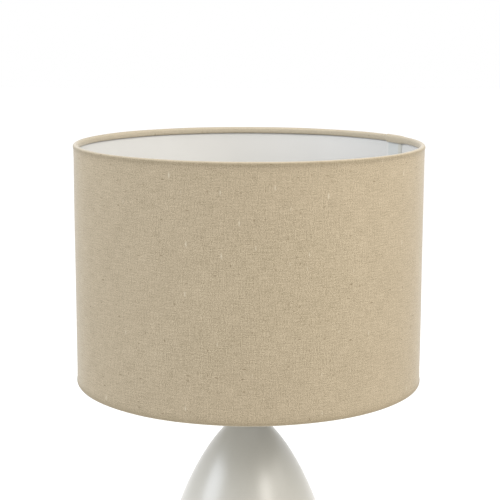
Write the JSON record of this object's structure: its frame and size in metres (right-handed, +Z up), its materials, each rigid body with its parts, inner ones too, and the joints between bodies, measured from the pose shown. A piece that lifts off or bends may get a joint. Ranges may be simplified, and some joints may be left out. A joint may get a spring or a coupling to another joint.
{
  "type": "table lamp",
  "caption": "Table lamp with a straight linen drum shade on an egg-shaped satin ceramic body, with an E27 holder and bulb.",
  "frame": {"origin": "centre of the foot, on the table", "axes": "+Z up along the lamp's axis; +Y is the rear, where the cable comes out; +X is the right seen from the front"},
  "size_m": [0.3, 0.3, 0.457],
  "materials": {
    "linen": "plain-weave linen, heathered sand, matt",
    "styrene": "smooth white styrene",
    "white_wire": "white powder coat",
    "glaze": "pale satin glaze",
    "felt": "pressed felt, dark grey",
    "hardboard": "hardboard, raw",
    "zinc_steel": "zinc plated",
    "brass": "plain",
    "satin_nickel": "satin nickel plate",
    "holder_plastic": "white, semi-gloss",
    "porcelain": "unglazed white porcelain",
    "bush_plastic": "off-white",
    "cap_metal": "nickel plated",
    "cap_glass": "black, glossy",
    "bulb_plastic": "white, semi-gloss",
    "circuit_board": "white solder mask",
    "opal": "opal, satin"
  },
  "bodies": {
    "lamp_base": {"felt_pad": "felt", "foot_disc": "hardboard", "tension_plate": "zinc_steel", "bottom_washer": "zinc_steel", "bottom_nut": "brass", "threaded_rod": "zinc_steel", "cable_bush": "bush_plastic", "ceramic_body": "glaze", "mouth_cap": "satin_nickel", "top_washer": "zinc_steel", "top_nut": "brass", "neck_sleeve": "satin_nickel", "holder_cap": "holder_plastic", "locking_screw": "zinc_steel", "holder_core": "porcelain", "terminal_screws": "brass", "centre_contact": "brass", "screw_shell": "brass", "holder_skirt": "holder_plastic"},
    "bulb": {"bulb_contact": "cap_metal", "bulb_insulator": "cap_glass", "bulb_cap": "cap_metal", "bulb_housing": "bulb_plastic", "led_board": "circuit_board", "bulb_globe": "opal"},
    "shade_ring": {"shade_ring": "holder_plastic"},
    "shade": {"fitter_ring": "white_wire", "spokes": "white_wire", "bottom_hoop": "white_wire", "bottom_hem": "linen", "shade_liner": "styrene", "shade_fabric": "linen", "top_hoop": "white_wire", "top_hem": "linen"}
  },
  "joints": [
    {"name": "bulb_lift", "type": "slide", "parent": "lamp_base", "child": "bulb", "axis": [0, 0, 1], "range_m": [0, 0.2]},
    {"name": "ring_turn", "type": "hinge", "parent": "lamp_base", "child": "shade_ring", "pos_m": [0, 0, 0.2627], "axis": [0, 0, 1], "continuous": true},
    {"name": "shade_turn", "type": "hinge", "parent": "lamp_base", "child": "shade", "pos_m": [0, 0, 0.2611], "axis": [0, 0, 1], "continuous": true}
  ]
}
